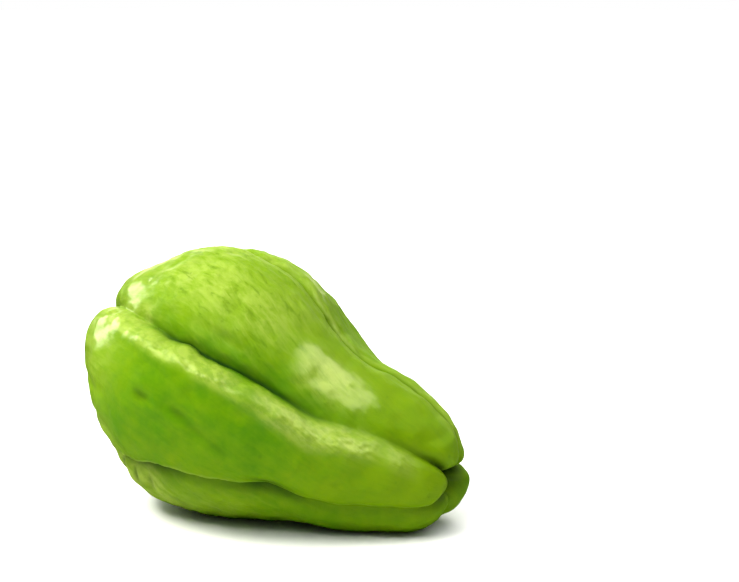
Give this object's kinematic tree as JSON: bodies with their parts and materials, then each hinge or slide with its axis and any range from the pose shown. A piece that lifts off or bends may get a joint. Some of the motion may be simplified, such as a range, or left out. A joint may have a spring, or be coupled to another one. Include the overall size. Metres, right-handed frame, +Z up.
{
  "type": "chayote squash",
  "caption": "Whole chayote squash lying on its side: a pear-shaped green fruit of long lobes between deep furrows, with a puckered blossom end and a pinched stem end.",
  "frame": {"origin": "on the plane the fruit rests on, under the middle of its box", "axes": "+Z up as the fruit lies; +X from the broad blossom end to the narrow stem end; -Y is the side with the long deep furrow"},
  "size_m": [0.1286, 0.0952, 0.0912],
  "materials": {
    "skin": "smooth waxy lime-green skin, darker in the furrows, with a soft gloss"
  },
  "bodies": {
    "root": {"chayote_fruit": "skin"}
  },
  "joints": []
}
